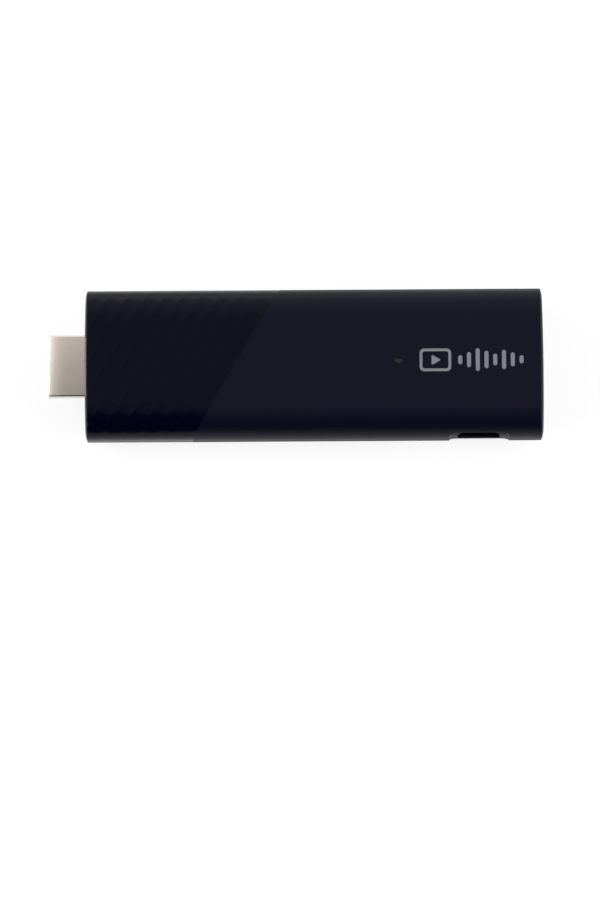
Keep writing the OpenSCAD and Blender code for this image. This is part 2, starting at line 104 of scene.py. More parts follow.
# The plug's outline about its centre: half sizes, the step at its sides, and the radii from the top down
PLUG_HALF_W, PLUG_HALF_H = plug_high[1], (plug_high[2] - plug_low[2]) / 2
PLUG_STEP, PLUG_SHOULDER_Z, PLUG_NECK_Z = 1.35, -0.15, -0.83
PLUG_TOP_R, PLUG_SHOULDER_R, PLUG_NECK_R, PLUG_FOOT_R = 0.42, 0.22, 0.2, 0.5
# The mouth leans back below the neck and is cut back at its lower lip, over a run from the tip
PLUG_LIP_LEAN, PLUG_LEAN_RISE = 0.12, 0.9
PLUG_LIP_BACK, PLUG_LIP_Z, PLUG_LIP_RISE, PLUG_LIP_RUN = 0.95, -1.72, 0.5, 6.0
# Two latch windows in its underside
LATCH_SIZE, LATCH_R, LATCH_Y, LATCH_FROM_TIP = (1.25, 1.9), 0.25, 2.7, 5.7

socket_low, socket_high = box_mm("usb_c_shell")
SOCKET_X = (socket_low[0] + socket_high[0]) / 2
# Its feet stand on the board, and the sleeve itself hardly clears it
SOCKET_LIFT = 0.02
SOCKET_W, SOCKET_H = 8.94, socket_high[2] - socket_low[2] - SOCKET_LIFT
SOCKET_Z = socket_high[2] - SOCKET_H / 2
SOCKET_SHEET, SOCKET_EDGE_R = 0.3, 0.1
# The mouth's lower part leans back, from this height over the socket's middle
SOCKET_LIP_LEAN, SOCKET_LIP_TOP = 0.18, 0.65
# Two feet beside the sleeve, two spring windows in its top and a seam in its underside
SOCKET_FOOT, SOCKET_FOOT_R, SOCKET_FOOT_OUT, SOCKET_FOOT_BACK = (0.5, 1.6), 0.1, 0.1, 3.8
SPRING_SIZE, SPRING_R, SPRING_X, SPRING_BACK = (0.9, 1.6), 0.18, 2.0, 1.8
SEAM_W = 0.06
# The opening in the case round the socket: its gap, and its upper and lower corners
SOCKET_GAP_SIDE, SOCKET_GAP_TOP, SOCKET_GAP_LOW = 0.22, 0.2, 0.05
OPENING_TOP_R, OPENING_LOW_R = 1.7, 0.12
# The hollow round the socket: its place, its size and its depth at heights over the underside
RECESS_X, RECESS_Z = SOCKET_X + 0.2, JOINT_Z - 0.25
RECESS_W, RECESS_H, RECESS_R, RECESS_SLOPE = 13.4, 8.9, 1.6, 0.42
RECESS_AT, RECESS_DEPTH = [3.3, 5.0, 8.0, 12.2], [0.15, 0.42, 0.5, 0.66]

lamp_low, lamp_high = box_mm("light_pipe")
LAMP_X = (lamp_low[0] + lamp_high[0]) / 2
LAMP_R = 0.6
reset_low, reset_high = box_mm("reset_button")
RESET_X, RESET_Y = (reset_low[:2] + reset_high[:2]) / 2
RESET_R = 0.8
# Both small holes have a chamfer, and are cut a little under size so that their wall misses the CAD's own
HOLE_CHAMFER, HOLE_CHAMFER_DEPTH, HOLE_UNDERSIZE = 0.14, 0.12, 0.01

# The printed mark: a screen with a play sign, and level bars
MARK_X, MARK_W, MARK_H = BACK_X - 16.25, 23.1, 5.1
MARK_LOW_Z, MARK_TOP_Z = TOP_Z - UPPER_SET_IN - 0.01, TOP_Z - UPPER_SET_IN + 0.012
SCREEN_W, SCREEN_LINE, SCREEN_R, SCREEN_INNER_R = 7.0, 0.62, 1.0, 0.5
PLAY_SIGN, PLAY_R = [(1.25, 0), (-0.85, 1.2), (-0.85, -1.2)], 0.18
BAR_W, BAR_R, BAR_START, BAR_END = 0.9, 0.44, 2.0, 0.5
BAR_HEIGHTS = [2.0, 3.4, 5.1, 3.9, 2.6, 4.3, 3.1, 1.8]

# The case's mesh: points on a quarter of its section, of which the inside takes only every so many
SECTION_POINTS, INSIDE_EVERY = 1500, 60
# Its spacing round the section and along the case, with a margin past what needs it fine
SOCKET_MARGIN, HOLLOW_MARGIN, WAVE_MARGIN = 0.9, 0.6, 0.3
ROUND_EDGE, ROUND_SOCKET, ROUND_PLAIN = 0.03, 0.12, 0.3
ALONG_WAVES, ALONG_SOCKET, ALONG_END, ALONG_PLAIN = 0.15, 0.12, 0.3, 1.0
# Rows round the rim, the finer stretch before it, and the run over which the rows take up the end's bulge
END_ROUND_ROWS, END_ZONE, END_BLEND = 9, 1.2, 5.0
# Rows over an end face, as shares of the way from the joint to the rim: close at both edges
END_ROWS = [0, 0.003, 0.007, 0.012, 0.018, 0.05, 0.1, 0.2, 0.3, 0.4, 0.5, 0.6, 0.68, 0.75, 0.8, 0.85]
END_ROWS += [0.89, 0.92, 0.95, 0.97, 0.985]

# ---- looks, camera and light ----

MARK_COLOUR = (0.108, 0.115, 0.128)
CASE_COLOUR, WAVE_COLOUR = (0.0004, 0.0008, 0.006), (0.0001, 0.0003, 0.0039)
CASE_ROUGHNESS, WAVE_ROUGHNESS, CASE_SPECULAR = 0.4, 0.22, 0.12
# The waves' gloss runs into the plain case's over this much on each side of their end
ZONE_BLEND = 0.15
# The camera: its distance in metres, its lean towards the front, and small turns that place the player
CAMERA_LENS, CAMERA_SENSOR = 143.0, 36.0
CAMERA_DISTANCE, CAMERA_TILT, CAMERA_ROLL = 0.8, 9.0, -0.35
CAMERA_AIM_DOWN, CAMERA_AIM_LEFT = 1.354, 0.224
# The floor glows a little, and lies just under the case so that the two never coincide
FLOOR_SIZE, FLOOR_GAP = 6000.0, 0.03
FLOOR_COLOUR, FLOOR_GLOW = (0.17, 0.17, 0.17), 0.78
# Two soft lights, each on both sides: place and size in metres, and brightness
SIDE_LIGHT = (0.95, 0.1, 0.8), (0.9, 0.7), 4.6
FRONT_LIGHT = (1.2, -0.38, 0.5), (0.9, 0.6), 7.5
# The surroundings' brightness, as shares of a strength at angles from the horizon in front (-90 degrees)
# over the zenith to the horizon behind (90)
SKY_STRENGTH = 2.9
SKY_LEVELS = [
    (-90, 0.05), (-75, 0.012), (-15, 0.008), (-10, 0.06), (-4, 0.12), (9, 0.2), (21, 0.29), (49, 0.4),
    (68, 0.5), (80, 0.62), (90, 0.85),
]
# Towards both ends of the player they are even instead: where that starts and where it is complete, as the
# direction's share along the length, and its level
SKY_ENDS, SKY_END_LEVEL = (0.75, 0.95), 0.3


# ---- mesh helpers ----


def mesh_object(name, points, faces):
    """A new object from points in millimetres."""
    mesh = bpy.data.meshes.new(name)
    mesh.from_pydata((np.asarray(points, float) * MM).tolist(), [], faces)
    mesh.validate()
    made = bpy.data.objects.new(name, mesh)
    scene.collection.objects.link(made)
    return made


def tidy(piece, merge=0, smooth_angle=None):
    """Turns the faces outwards and, where asked, merges points that coincide and shades smooth."""
    work = bmesh.new()
    work.from_mesh(piece.data)
    if merge:
        bmesh.ops.remove_doubles(work, verts=work.verts, dist=merge * MM)
        bmesh.ops.dissolve_degenerate(work, edges=work.edges, dist=1e-9)
    bmesh.ops.recalc_face_normals(work, faces=work.faces)
    work.to_mesh(piece.data)
    work.free()
    if smooth_angle is not None:
        piece.data.shade_smooth()
        piece.data.set_sharp_from_angle(angle=math.radians(smooth_angle))
    return piece


def combine(piece, other, operation):
    """Applies a boolean of another object to a piece, and removes that other object."""
    modifier = piece.modifiers.new("combine", "BOOLEAN")
    modifier.solver = "MANIFOLD"
    modifier.operation = operation
    modifier.object = other
    graph = bpy.context.evaluated_depsgraph_get()
    result = bpy.data.meshes.new_from_object(piece.evaluated_get(graph))
    piece.modifiers.clear()
    piece.data = result
    bpy.data.objects.remove(other)
    return piece


def grid_faces(rows, columns, wrap_rows=False, wrap_columns=False):
    """Quads over a grid of points that is stored row by row."""
    faces = []
    for r in range(rows if wrap_rows else rows - 1):
        below, above = r * columns, (r + 1) % rows * columns
        for c in range(columns if wrap_columns else columns - 1):
            after = (c + 1) % columns
            faces.append((below + c, below + after, above + after, above + c))
    return faces


def ring_solid(name, loops):
    """A closed ring from loops of equally many points, each joined to the next and the last to the first."""
    points = np.concatenate(loops)
    return mesh_object(name, points, grid_faces(len(loops), len(loops[0]), True, True))


def bar_solid(name, loops):
    """A closed bar from loops of equally many points, with a flat face on both ends."""
    count = len(loops[0])
    faces = grid_faces(len(loops), count, False, True)
    last = (len(loops) - 1) * count
    faces.append(tuple(range(count))[::-1])
    faces.append(tuple(range(last, last + count)))
    return tidy(mesh_object(name, np.concatenate(loops), faces))


def spaced(*stretches):
    """Values over stretches given as (start, end, step), each in even steps close to the one asked."""
    values = []
    for start, end, step in stretches:
        values.append(np.linspace(start, end, max(1, round(abs(end - start) / step)), endpoint=False))
    values.append([stretches[-1][1]])
    return np.concatenate(values)


def rounded(corners, radii, arc_points=6):
    """A closed outline through corners, each rounded with its own radius."""
    outline = []
    for i, corner in enumerate(corners):
        here = Vector(corner)
        before = (Vector(corners[i - 1]) - here).normalized()
        after = (Vector(corners[(i + 1) % len(corners)]) - here).normalized()
        half = before.angle(after) / 2
        reach = radii[i] / math.tan(half)
        centre = here + (before + after).normalized() * radii[i] / math.sin(half)
        start, end = here + before * reach - centre, here + after * reach - centre
        for k in range(arc_points):
            share = k / (arc_points - 1)
            spoke = start.lerp(end, share).normalized() * radii[i]
            outline.append(tuple(centre + spoke))
    return np.array(outline)


def rounded_rectangle(width, height, radius, arc_points=8):
    """A rectangle's outline about its middle, with rounded corners."""
    x, y = width / 2, height / 2
    return rounded([(x, y), (-x, y), (-x, -y), (x, -y)], [radius] * 4, arc_points)


def on_x(outline, x, y=0.0, z=0.0):
    """An outline in the YZ plane at x."""
    return np.column_stack([np.full(len(outline), x), outline[:, 0] + y, outline[:, 1] + z])


def on_y(outline, y, x=0.0, z=0.0):
    """An outline in the XZ plane at y."""
    return np.column_stack([outline[:, 0] + x, np.full(len(outline), y), outline[:, 1] + z])


def on_z(outline, z, x=0.0, y=0.0):
    """An outline in the XY plane at z."""
    return np.column_stack([outline[:, 0] + x, outline[:, 1] + y, np.full(len(outline), z)])


def circle(radius, count=48):
    """A circle's outline about its middle."""
    turn = np.linspace(0, 2 * math.pi, count, endpoint=False)
    return np.column_stack([radius * np.cos(turn), radius * np.sin(turn)])


def stand_in(piece, node, slot):
    """A finished piece that takes a CAD node's place on the player."""
    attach(piece, "player")
    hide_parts(node)
    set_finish(piece, slot)
    return piece


# ---- the case ----


def half_section(side, set_in=0.0):
    """Points of half the case's section, from the joint at -Y over the face to the joint at +Y.

    side is 1 for the upper half and -1 for the lower."""
    rise = (TOP_Z - JOINT_Z if side > 0 else JOINT_Z) - set_in
    reach = SIDE_ROUND - set_in
    angle = np.linspace(0, math.pi / 2, SECTION_POINTS)
    out = HALF_W - SIDE_ROUND + reach * np.clip(np.cos(angle), 0, 1) ** (2 / SIDE_POWER)
    up = rise * np.sin(angle) ** (2 / SIDE_POWER)
    y = np.concatenate([-out, out[::-1]])
    z = JOINT_Z + side * np.concatenate([up, up[::-1]])
    return y, z


def sample(y, z, at):
    """The curve's points and outward normals at distances along it."""
    run = np.concatenate([[0], np.cumsum(np.hypot(np.diff(y), np.diff(z)))])
    side = 1 if z[len(z) // 2] > JOINT_Z else -1
    here_y, here_z = np.interp(at, run, y), np.interp(at, run, z)
    step = 0.02
    low, high = np.clip(at - step, 0, run[-1]), np.clip(at + step, 0, run[-1])
    dy = np.interp(high, run, y) - np.interp(low, run, y)
    dz = np.interp(high, run, z) - np.interp(low, run, z)
    length = np.hypot(dy, dz)
    return here_y, here_z, -side * dz / length, side * dy / length


def wave_drop(x, y):
    """Depth of the grip waves below the plain surface: hollows between ridges, deepest on the shoulders."""
    count = np.maximum((WAVE_END - (x - WAVE_SLOPE * y)) / WAVE_PITCH, 0)
    index = np.floor(count)
    on_face = FACE_DEPTH_FIRST + (FACE_DEPTH_LAST - FACE_DEPTH_FIRST) * np.minimum(index / FACE_WAVES, 1)
    growth = SHOULDER_FIRST + (1 - SHOULDER_FIRST) * np.minimum(index / SHOULDER_WAVES, 1)
    on_shoulder = SHOULDER_DEPTH * growth
    share = np.interp(np.abs(y), SHOULDER_AT, SHOULDER_SHARE)
    fade = np.interp(np.abs(y), SHOULDER_AT[-len(FACE_FADE):], FACE_FADE)
    depth = on_face * fade + np.maximum(on_shoulder - on_face, 0) * share
    from_ridge = 1 - np.abs(2 * (count - index) - 1)
    soft = np.sqrt(from_ridge**2 + WAVE_RIDGE**2) - WAVE_RIDGE
    drop = depth * (1 - (1 - np.minimum(soft, 1)) ** 2)
    return np.where(count > 0, drop, 0)


def recess_drop(x, z):
    """Depth of the hollow around the socket, with a sloped wall all round."""
    dx = np.abs(x - RECESS_X) - (RECESS_W / 2 - RECESS_R)
    dz = np.abs(z - RECESS_Z) - (RECESS_H / 2 - RECESS_R)
    outside = np.hypot(np.maximum(dx, 0), np.maximum(dz, 0)) + np.minimum(np.maximum(dx, dz), 0) - RECESS_R
    floor = np.interp(z, RECESS_AT, RECESS_DEPTH)
    return floor * np.clip(-outside / RECESS_SLOPE, 0, 1)


def edge_round(distance, radius):
    """How far a rounded edge falls back at a distance from the edge."""
    left = np.clip(radius - distance, 0, radius)
    return radius - np.sqrt(radius**2 - left**2)


def end_set_back(y, z, rise):
    """How far an end face lies behind its furthest point: its bulge, softened corner and joint."""
    height = np.abs(z - JOINT_Z)
    over = np.maximum(np.abs(y) - (HALF_W - SIDE_ROUND), 0) / SIDE_ROUND
    share = (over**SIDE_POWER + np.minimum(height / rise, 1) ** SIDE_POWER) ** (1 / SIDE_POWER)
    from_rim = np.maximum(1 - share, 0) * SIDE_ROUND
    bulge = END_BOW_R - np.sqrt(END_BOW_R**2 - height**2) + y**2 / (2 * PLAN_BOW_R)
    corner = END_CORNER * np.maximum(1 - from_rim / END_CORNER_REACH, 0) ** END_CORNER_POWER
    return bulge + corner + edge_round(height, JOINT_EDGE_R)


def outer_section(side, set_in):
    """Points of half the case's section with its fine round at the joint, and their outward normals."""
    y, z = half_section(side, set_in)
    total = np.hypot(np.diff(y), np.diff(z)).sum()
    socket_run = RECESS_H / 2 + SOCKET_MARGIN
    at = spaced(
        (0, JOINT_EDGE_R, ROUND_EDGE), (JOINT_EDGE_R, socket_run, ROUND_SOCKET),
        (socket_run, total - JOINT_EDGE_R, ROUND_PLAIN), (total - JOINT_EDGE_R, total, ROUND_EDGE),
    )
    y, z, normal_y, normal_z = sample(y, z, at)
    joint_drop = edge_round(np.abs(z - JOINT_Z), JOINT_EDGE_R)
    y, z = y - normal_y * joint_drop, z - normal_z * joint_drop
    z[[0, -1]] = JOINT_Z
    return y, z, normal_y, normal_z


def end_rows(section, side, end_x, toward):
    """Rows over one end face, from the joint to the rim and round its edge, and how far back they reach."""
    y, z, normal_y, normal_z = section
    rise = TOP_Z - JOINT_Z if side > 0 else JOINT_Z
    waves = wave_drop(np.full_like(y, end_x), y)
    rim_y, rim_z = y - normal_y * waves, z - normal_z * waves
    inner_y, inner_z = rim_y - normal_y * END_EDGE_R, rim_z - normal_z * END_EDGE_R
    inner_z = np.where(side * (inner_z - JOINT_Z) > 0, inner_z, JOINT_Z)
    rows = []
    for share in END_ROWS:
        row_z = JOINT_Z + share * (inner_z - JOINT_Z)
        rows.append([end_x + toward * end_set_back(inner_y, row_z, rise), inner_y, row_z])
    back = end_set_back(inner_y, inner_z, rise)
    for turn in np.linspace(math.pi / 2, 0, END_ROUND_ROWS):
        drop = END_EDGE_R * (1 - math.cos(turn))
        row_x = end_x + toward * (back + END_EDGE_R * (1 - math.sin(turn)))
        row_z = rim_z - normal_z * drop
        row_z[[0, -1]] = JOINT_Z
        rows.append([row_x, rim_y - normal_y * drop, row_z])
    return rows, back + END_EDGE_R


def places_along(start, end):
    """Places between the ends of the case, close together over the waves, at the socket and near the end."""
    wave_stop = WAVE_END + WAVE_SLOPE * HALF_W + WAVE_MARGIN
    recess_reach = RECESS_W / 2 + HOLLOW_MARGIN
    recess_from, recess_to = RECESS_X - recess_reach, RECESS_X + recess_reach
    places = spaced(
        (start, wave_stop, ALONG_WAVES), (wave_stop, recess_from, ALONG_PLAIN),
        (recess_from, recess_to, ALONG_SOCKET), (recess_to, end - END_ZONE, ALONG_PLAIN),
        (end - END_ZONE, end, ALONG_END),
    )
    return places[1:-1]


def closed_form(name, rows):
    """A closed form from rows of points, with one flat face along their border."""
    grid = np.array(rows).transpose(0, 2, 1)
    count_rows, count_columns = grid.shape[:2]
    faces = grid_faces(count_rows, count_columns)
    last = (count_rows - 1) * count_columns
    border = list(range(count_columns))
    border += [r * count_columns + count_columns - 1 for r in range(1, count_rows)]
    border += list(range(last + count_columns - 2, last - 1, -1))
    border += [r * count_columns for r in range(count_rows - 2, 0, -1)]
    faces.append(tuple(border))
    return tidy(mesh_object(name, grid.reshape(-1, 3), faces), merge=0.001)


def case_outside(name, side, set_in):
    """The closed outer form of one half of the case, with waves, a hollow, bulged ends and fine rounding."""
    section = outer_section(side, set_in)
    y, z, normal_y, normal_z = section
    start, end = FRONT_X + set_in, BACK_X - set_in
    front, front_back = end_rows(section, side, start, 1)
    rear, rear_back = end_rows(section, side, end, -1)
    middle = []
    for place in places_along(start, end):
        near_front = max(0.0, 1 - (place - start) / END_BLEND)
        near_rear = max(0.0, 1 - (end - place) / END_BLEND)
        x = place + near_front * front_back - near_rear * rear_back
        drop = np.where(y < 0, recess_drop(x, z), 0) + wave_drop(x, y)
        row_y, row_z = y - normal_y * drop, z - normal_z * drop
        row_z[[0, -1]] = JOINT_Z
        middle.append([x, row_y, row_z])
    return closed_form(name, front + middle + rear[::-1])


def inner_form(t, z_low, z_high):
    """The inside of the case, moved in by t and kept between two heights, as a plain bar."""
    outline = []
    for side in (1, -1):
        y, z = half_section(side, t)
        y, z = y[::INSIDE_EVERY], z[::INSIDE_EVERY]
        if side < 0:
            y, z = y[::-1], z[::-1]
        outline += [(a, min(max(b, z_low), z_high)) for a, b in zip(y, z)]
    outline = np.array(outline)
    wall = t + END_WALL_EXTRA
    return bar_solid("inner_form", [on_x(outline, FRONT_X + wall), on_x(outline, BACK_X - wall)])


def plug_outline(grown):
    """The plug's outline about its centre: wide above, set in below, grown outwards on every side."""
    top, side, foot = PLUG_HALF_H + grown, PLUG_HALF_W + grown, PLUG_HALF_W + grown - PLUG_STEP
    right = [(foot, -top), (foot, PLUG_NECK_Z), (side, PLUG_SHOULDER_Z), (side, top)]
    left = [(-y, z) for y, z in right[::-1]]
    radii = [PLUG_FOOT_R, PLUG_NECK_R, PLUG_SHOULDER_R, PLUG_TOP_R]
    return rounded(right + left, radii + radii[::-1])


def cut_openings(piece, side):
    """The openings for the plug, the socket and the status light or the reset pin."""
    opening = plug_outline(PLUG_GAP)
    bar = bar_solid("cutter", [on_x(opening, FRONT_X - 2, 0, PLUG_Z), on_x(opening, FRONT_X + 4, 0, PLUG_Z)])
    combine(piece, bar, "DIFFERENCE")
    half_w = SOCKET_W / 2 + SOCKET_GAP_SIDE
    top, low = SOCKET_H / 2 + SOCKET_GAP_TOP, -SOCKET_H / 2 - SOCKET_GAP_LOW
    corners = [(half_w, top), (-half_w, top), (-half_w, low), (half_w, low)]
    mouth = rounded(corners, [OPENING_TOP_R, OPENING_TOP_R, OPENING_LOW_R, OPENING_LOW_R])
    loops = [on_y(mouth, -HALF_W - 1, SOCKET_X, SOCKET_Z), on_y(mouth, -HALF_W + 4, SOCKET_X, SOCKET_Z)]
    combine(piece, bar_solid("cutter", loops), "DIFFERENCE")
    if side > 0:
        x, y, radius, face, inward = LAMP_X, 0.0, LAMP_R, TOP_Z, -1
    else:
        x, y, radius, face, inward = RESET_X, RESET_Y, RESET_R, 0.0, 1
    wide, narrow = radius + HOLE_CHAMFER, radius - HOLE_UNDERSIZE
    steps = [(-1, wide), (0, wide), (HOLE_CHAMFER_DEPTH, narrow), (3, narrow)]
    hole = bar_solid("cutter", [on_z(circle(r), face + inward * depth, x, y) for depth, r in steps])
    return combine(piece, hole, "DIFFERENCE")


def case_half(name, node, side, set_in):
    """One shell: its fine outer skin joined to the CAD shell's own inside, with its posts, hooks and lip."""
    piece = case_outside(name, side, set_in)
    if side > 0:
        combine(piece, inner_form(SKIN, JOINT_Z - 2, TOP_Z + 1), "DIFFERENCE")
        combine(piece, inner_form(LIP_WALL, JOINT_Z - 2, LIP_TOP_Z), "DIFFERENCE")
    else:
        combine(piece, inner_form(SKIN, -1, JOINT_Z + 2), "DIFFERENCE")
    cut_openings(piece, side)
    lining = bpy.data.objects.new("lining", frame["nodes"][node].data.copy())
    scene.collection.objects.link(lining)
    tidy(lining, merge=0.0002)
    combine(lining, inner_form(LINING, -1, TOP_Z + 1), "INTERSECT")
    combine(piece, lining, "UNION")
    return stand_in(tidy(piece, smooth_angle=32), node, "case_plastic")


# ---- connectors ----


def rolled_rim(radius, sheet):
    """Distances behind the mouth and into the sheet, over a mouth with both of its edges rounded."""
    near = radius * (1 - math.sqrt(0.5))
    outer = [(radius, 0), (near, near), (0, radius)]
    return outer + [(back, sheet - inward) for back, inward in outer[::-1]]


def plug_sleeve():
    """The plug's formed sleeve: a rolled rim, a lower lip cut back at the tip and two latch windows below."""

    def loop(from_tip, set_in):
        points = on_x(plug_outline(-set_in), plug_low[0] + from_tip, 0, PLUG_Z)
        height = points[:, 2] - PLUG_Z
        back = PLUG_LIP_LEAN * np.clip((PLUG_NECK_Z - height) / PLUG_LEAN_RISE, 0, 1)
        back += PLUG_LIP_BACK * np.clip((PLUG_LIP_Z - height) / PLUG_LIP_RISE, 0, 1)
        points[:, 0] += back * max(0.0, 1 - from_tip / PLUG_LIP_RUN)
        return points

    rear = plug_high[0] - plug_low[0]
    stations = [(rear, 0), (PLUG_LIP_RUN, 0)] + rolled_rim(PLUG_EDGE_R, PLUG_SHEET)
    stations += [(PLUG_LIP_RUN, PLUG_SHEET), (rear, PLUG_SHEET)]
    piece = tidy(ring_solid("plug_sleeve", [loop(*station) for station in stations]))
    window = rounded_rectangle(*LATCH_SIZE, LATCH_R)
    x, low, high = plug_low[0] + LATCH_FROM_TIP, PLUG_Z - 4, PLUG_Z - 1.2
    for y in (-LATCH_Y, LATCH_Y):
        combine(piece, bar_solid("cutter", [on_z(window, low, x, y), on_z(window, high, x, y)]), "DIFFERENCE")
    return tidy(piece, smooth_angle=40)


def socket_sleeve():
    """The socket's drawn sleeve: a rounded mouth, a seam under its middle, spring windows and two feet."""

    def loop(from_mouth, set_in):
        width, height = SOCKET_W - 2 * set_in, SOCKET_H - 2 * set_in
        outline = rounded_rectangle(width, height, height / 2 - 0.01, 14)
        points = on_y(outline, socket_low[1] + from_mouth, SOCKET_X, SOCKET_Z)
        lean = SOCKET_LIP_LEAN * np.maximum(SOCKET_Z + SOCKET_LIP_TOP - points[:, 2], 0)
        points[:, 1] += lean * (from_mouth < 1)
        return points

    depth = socket_high[1] - socket_low[1]
    stations = [(depth, 0)] + rolled_rim(SOCKET_EDGE_R, SOCKET_SHEET) + [(depth, SOCKET_SHEET)]
    piece = tidy(ring_solid("socket_sleeve", [loop(*station) for station in stations]))
    outline = rounded_rectangle(*SOCKET_FOOT, SOCKET_FOOT_R)
    for side in (-1, 1):
        x, y = SOCKET_X + side * (SOCKET_W / 2 + SOCKET_FOOT_OUT), socket_low[1] + SOCKET_FOOT_BACK
        loops = [on_z(outline, z, x, y) for z in (socket_low[2], socket_low[2] + SOCKET_H / 2)]
        combine(piece, bar_solid("foot", loops), "UNION")
    window, seam = rounded_rectangle(*SPRING_SIZE, SPRING_R), rounded_rectangle(SEAM_W, depth + 2, SEAM_W / 5)
    y, z = socket_low[1] + SPRING_BACK, SOCKET_Z + SOCKET_H / 2
    cuts = [(window, SOCKET_X + side * SPRING_X, y, z) for side in (-1, 1)]
    cuts.append((seam, SOCKET_X, socket_low[1] + depth / 2, SOCKET_Z - SOCKET_H / 2))
    for outline, x, y, z in cuts:
        loops = [on_z(outline, z - 0.6, x, y), on_z(outline, z + 0.5, x, y)]
        combine(piece, bar_solid("cutter", loops), "DIFFERENCE")
    return tidy(piece, smooth_angle=40)


# ---- the printed mark: a screen with a play sign, and level bars ----


def flat_plate(outline, x):
    """Both faces of a flat piece of the mark."""
    return [on_z(outline, MARK_LOW_Z, x), on_z(outline, MARK_TOP_Z, x)]


def printed_mark():
    """The mark as one flat piece that stands hardly proud of the face, as ink does."""
    left, right = MARK_X - MARK_W / 2, MARK_X + MARK_W / 2
    outer = rounded_rectangle(SCREEN_W, MARK_H, SCREEN_R)
    inner = rounded_rectangle(SCREEN_W - 2 * SCREEN_LINE, MARK_H - 2 * SCREEN_LINE, SCREEN_INNER_R)
    x = left + SCREEN_W / 2
    parts = [ring_solid("screen", flat_plate(outer, x) + flat_plate(inner, x)[::-1])]
    play = rounded(PLAY_SIGN, [PLAY_R] * len(PLAY_SIGN))
    parts.append(bar_solid("play", flat_plate(play, x)))
    bar_places = np.linspace(left + SCREEN_W + BAR_START, right - BAR_END, len(BAR_HEIGHTS))
    for place, height in zip(bar_places, BAR_HEIGHTS):
        parts.append(bar_solid("bar", flat_plate(rounded_rectangle(BAR_W, height, BAR_R), place)))
    bpy.ops.object.select_all(action="DESELECT")
    for part in parts:
        tidy(part)
        part.select_set(True)
    bpy.context.view_layer.objects.active = parts[0]
    bpy.ops.object.join()
    parts[0].name = "printed_mark"
    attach(parts[0], "player")
    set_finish(parts[0], "print_ink")
    return parts[0]


# ---- materials ----


class Finish:
    """A principled material with its texture coordinates in millimetres."""

    def __init__(self, name, colour, roughness, metallic=0.0):
        self.material = bpy.data.materials.new(name)
        self.material.use_nodes = True
        self.nodes, self.links = self.material.node_tree.nodes, self.material.node_tree.links
        self.shader = self.nodes["Principled BSDF"]
        self.colour, self.roughness = colour, roughness
        self.shader.inputs["Base Color"].default_value = (*colour, 1)
        self.shader.inputs["Roughness"].default_value = roughness
        self.shader.inputs["Metallic"].default_value = metallic
        where = self.nodes.new("ShaderNodeTexCoord")
        self.place = self.nodes.new("ShaderNodeMapping")
        self.place.inputs["Scale"].default_value = (1 / MM,) * 3
        self.links.new(where.outputs["Object"], self.place.inputs["Vector"])
        self.height = None

    def noise(self, size, detail=3.0, stretch=(1, 1, 1)):
        """A noise whose features are about size millimetres, drawn out along an axis by stretch."""
        place = self.nodes.new("ShaderNodeMapping")
        place.inputs["Scale"].default_value = tuple(1 / (size * s) for s in stretch)
        self.links.new(self.place.outputs["Vector"], place.inputs["Vector"])
        made = self.nodes.new("ShaderNodeTexNoise")
        made.inputs["Scale"].default_value = 1
        made.inputs["Detail"].default_value = detail
        self.links.new(place.outputs["Vector"], made.inputs["Vector"])
        return made.outputs["Fac"]

    def mottle(self, size, spread, stretch=(1, 1, 1)):
        """Varies the colour about its mean."""
        mix = self.nodes.new("ShaderNodeMix")
        mix.data_type = "RGBA"
        low = tuple(c * (1 - spread) for c in self.colour)
        high = tuple(min(c * (1 + spread), 1) for c in self.colour)
        mix.inputs["A"].default_value, mix.inputs["B"].default_value = (*low, 1), (*high, 1)
        self.links.new(self.noise(size, 4.0, stretch), mix.inputs["Factor"])
        self.links.new(mix.outputs["Result"], self.shader.inputs["Base Color"])
        return mix

    def worn(self, size, spread, stretch=(1, 1, 1)):
        """Varies the roughness about its mean, over the middle of the noise's range."""
        low, high = self.roughness - spread, self.roughness + spread
        span = self.nodes.new("ShaderNodeMapRange")
        span.inputs["From Min"].default_value, span.inputs["From Max"].default_value = 0.3, 0.7
        span.inputs["To Min"].default_value, span.inputs["To Max"].default_value = low, high
        self.links.new(self.noise(size, 3.0, stretch), span.inputs["Value"])
        self.links.new(span.outputs["Result"], self.shader.inputs["Roughness"])
        return self

    def bump(self, size, height, stretch=(1, 1, 1), detail=2.0):
        """Adds fine relief of a height in millimetres."""
        made = self.nodes.new("ShaderNodeBump")
        made.inputs["Distance"].default_value = height * MM
        made.inputs["Strength"].default_value = 1.0
        self.links.new(self.noise(size, detail, stretch), made.inputs["Height"])
        if self.height is not None:
            self.links.new(self.height, made.inputs["Normal"])
        self.height = made.outputs["Normal"]
        self.links.new(self.height, self.shader.inputs["Normal"])
        return self


